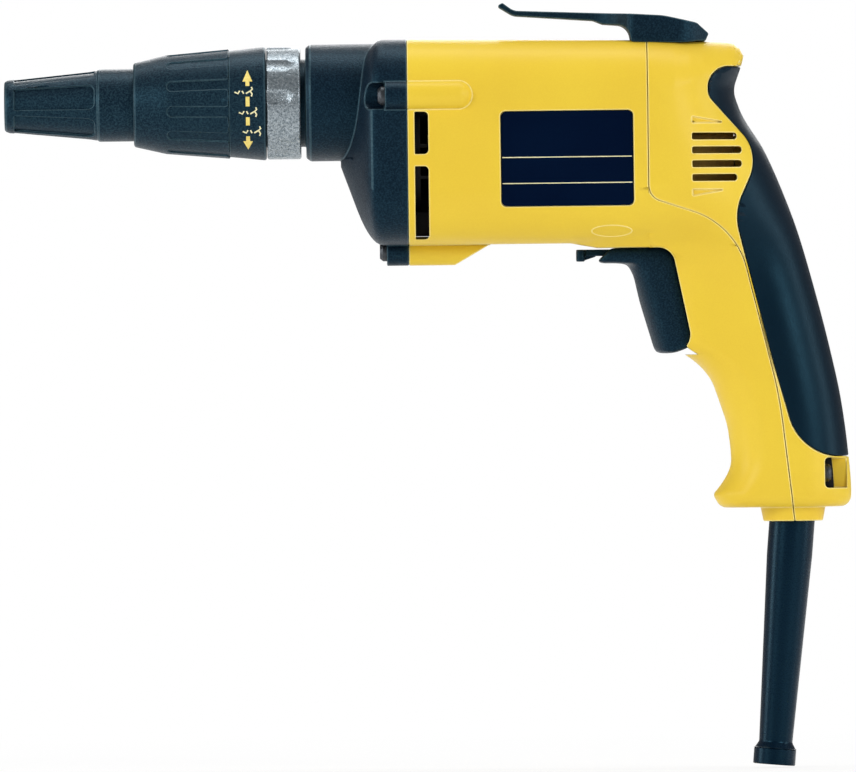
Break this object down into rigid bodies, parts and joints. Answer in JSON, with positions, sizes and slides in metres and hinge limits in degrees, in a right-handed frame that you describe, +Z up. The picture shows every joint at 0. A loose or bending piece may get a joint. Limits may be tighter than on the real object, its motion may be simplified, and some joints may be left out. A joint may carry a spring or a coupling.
{
  "type": "corded drywall screwdriver",
  "caption": "Corded drywall screwdriver with a pistol grip, depth-setting nosepiece and turning collar, trigger with reversing lever, belt hook and strain relief.",
  "frame": {"origin": "mouth of the bit holder's hexagon socket, on the spindle's axis", "axes": "+X along the spindle from the nose to the rear, +Y to the tool's right-hand side as the user holds it, +Z up, from the handle to the barrel"},
  "size_m": [0.3115, 0.0764, 0.2834],
  "materials": {
    "yellow_plastic": "finely textured moulded plastic, slight sheen",
    "black_plastic": "fine spark texture",
    "black_cast": "black paint on an aluminium casting",
    "grip_rubber": "soft moulded grip",
    "relief_rubber": "smooth, flexible",
    "grey_metal": "grainy cast",
    "dark_steel": "blackened",
    "steel": "ground",
    "bronze": "sintered",
    "lamination": "stacked sheets",
    "copper": "varnished",
    "carbon": "pressed",
    "magnet": "plated"
  },
  "bodies": {
    "housing": {"motor_housing": "yellow_plastic", "rear_cover": "yellow_plastic", "grip_pad": "grip_rubber", "belt_hook": "black_plastic", "belt_hook_screw": "dark_steel", "suppressor": "black_plastic", "nameplate_left": "black_plastic", "nameplate_right": "black_plastic", "cover_screws": "dark_steel", "gear_case": "black_cast", "gear_case_screws": "dark_steel", "bearing_plate": "grey_metal", "spindle_rear_bush": "bronze", "front_bearing": "steel", "spindle_seal": "relief_rubber", "spindle_bush": "bronze", "lock_ring": "grey_metal", "field_stack": "lamination", "field_coils": "copper", "air_baffle": "black_plastic", "brush_plate": "black_plastic", "rear_bearing": "steel", "brush_holders": "black_plastic", "carbon_brushes": "carbon", "brush_springs": "steel", "switch_body": "black_plastic", "strain_relief": "relief_rubber", "cord_clamp": "black_plastic", "cord_clamp_screws": "dark_steel"},
    "armature": {"armature_shaft": "steel", "armature_core": "lamination", "armature_winding": "copper", "commutator": "copper", "fan": "black_plastic"},
    "drive_gear": {"drive_gear": "steel", "thrust_washer": "steel", "clutch_spring": "steel"},
    "spindle": {"spindle": "steel", "bit_holder": "steel", "bit_magnet": "magnet", "retaining_ring": "dark_steel"},
    "depth_collar": {"depth_collar": "black_plastic"},
    "nosepiece": {"nosepiece": "black_plastic"},
    "trigger": {"trigger": "black_plastic"},
    "reverse_lever": {"reverse_lever": "black_plastic"}
  },
  "joints": [
    {"name": "armature_spin", "type": "hinge", "parent": "housing", "child": "armature", "pos_m": [0.17, 0, -0.015], "axis": [1, 0, 0], "continuous": true},
    {"name": "gear_spin", "type": "hinge", "parent": "housing", "child": "drive_gear", "pos_m": [0.112, 0, 0], "axis": [1, 0, 0], "continuous": true},
    {"name": "spindle_push", "type": "slide", "parent": "drive_gear", "child": "spindle", "axis": [1, 0, 0], "range_m": [0, 0.0026], "stiffness_N_per_m": 1200, "springref_m": -0.003, "deforming": ["clutch_spring"]},
    {"name": "collar_turn", "type": "hinge", "parent": "housing", "child": "depth_collar", "pos_m": [0.06, 0, 0], "axis": [1, 0, 0], "range_deg": [-360, 360]},
    {"name": "nose_slide", "type": "slide", "parent": "housing", "child": "nosepiece", "axis": [1, 0, 0], "range_m": [-0.003, 0.003]},
    {"name": "trigger_pull", "type": "slide", "parent": "housing", "child": "trigger", "axis": [1, 0, 0], "range_m": [0, 0.0065], "stiffness_N_per_m": 700, "springref_m": -0.004},
    {"name": "reverse_swing", "type": "hinge", "parent": "housing", "child": "reverse_lever", "pos_m": [0.2525, 0, -0.06], "axis": [0, 0, 1], "range_deg": [-5.5, 5.5]}
  ],
  "couplings": [
    {"joint": "gear_spin", "follows": "armature_spin", "ratio": -0.25},
    {"joint": "nose_slide", "follows": "collar_turn", "m_per_rad": 0.00047746}
  ]
}
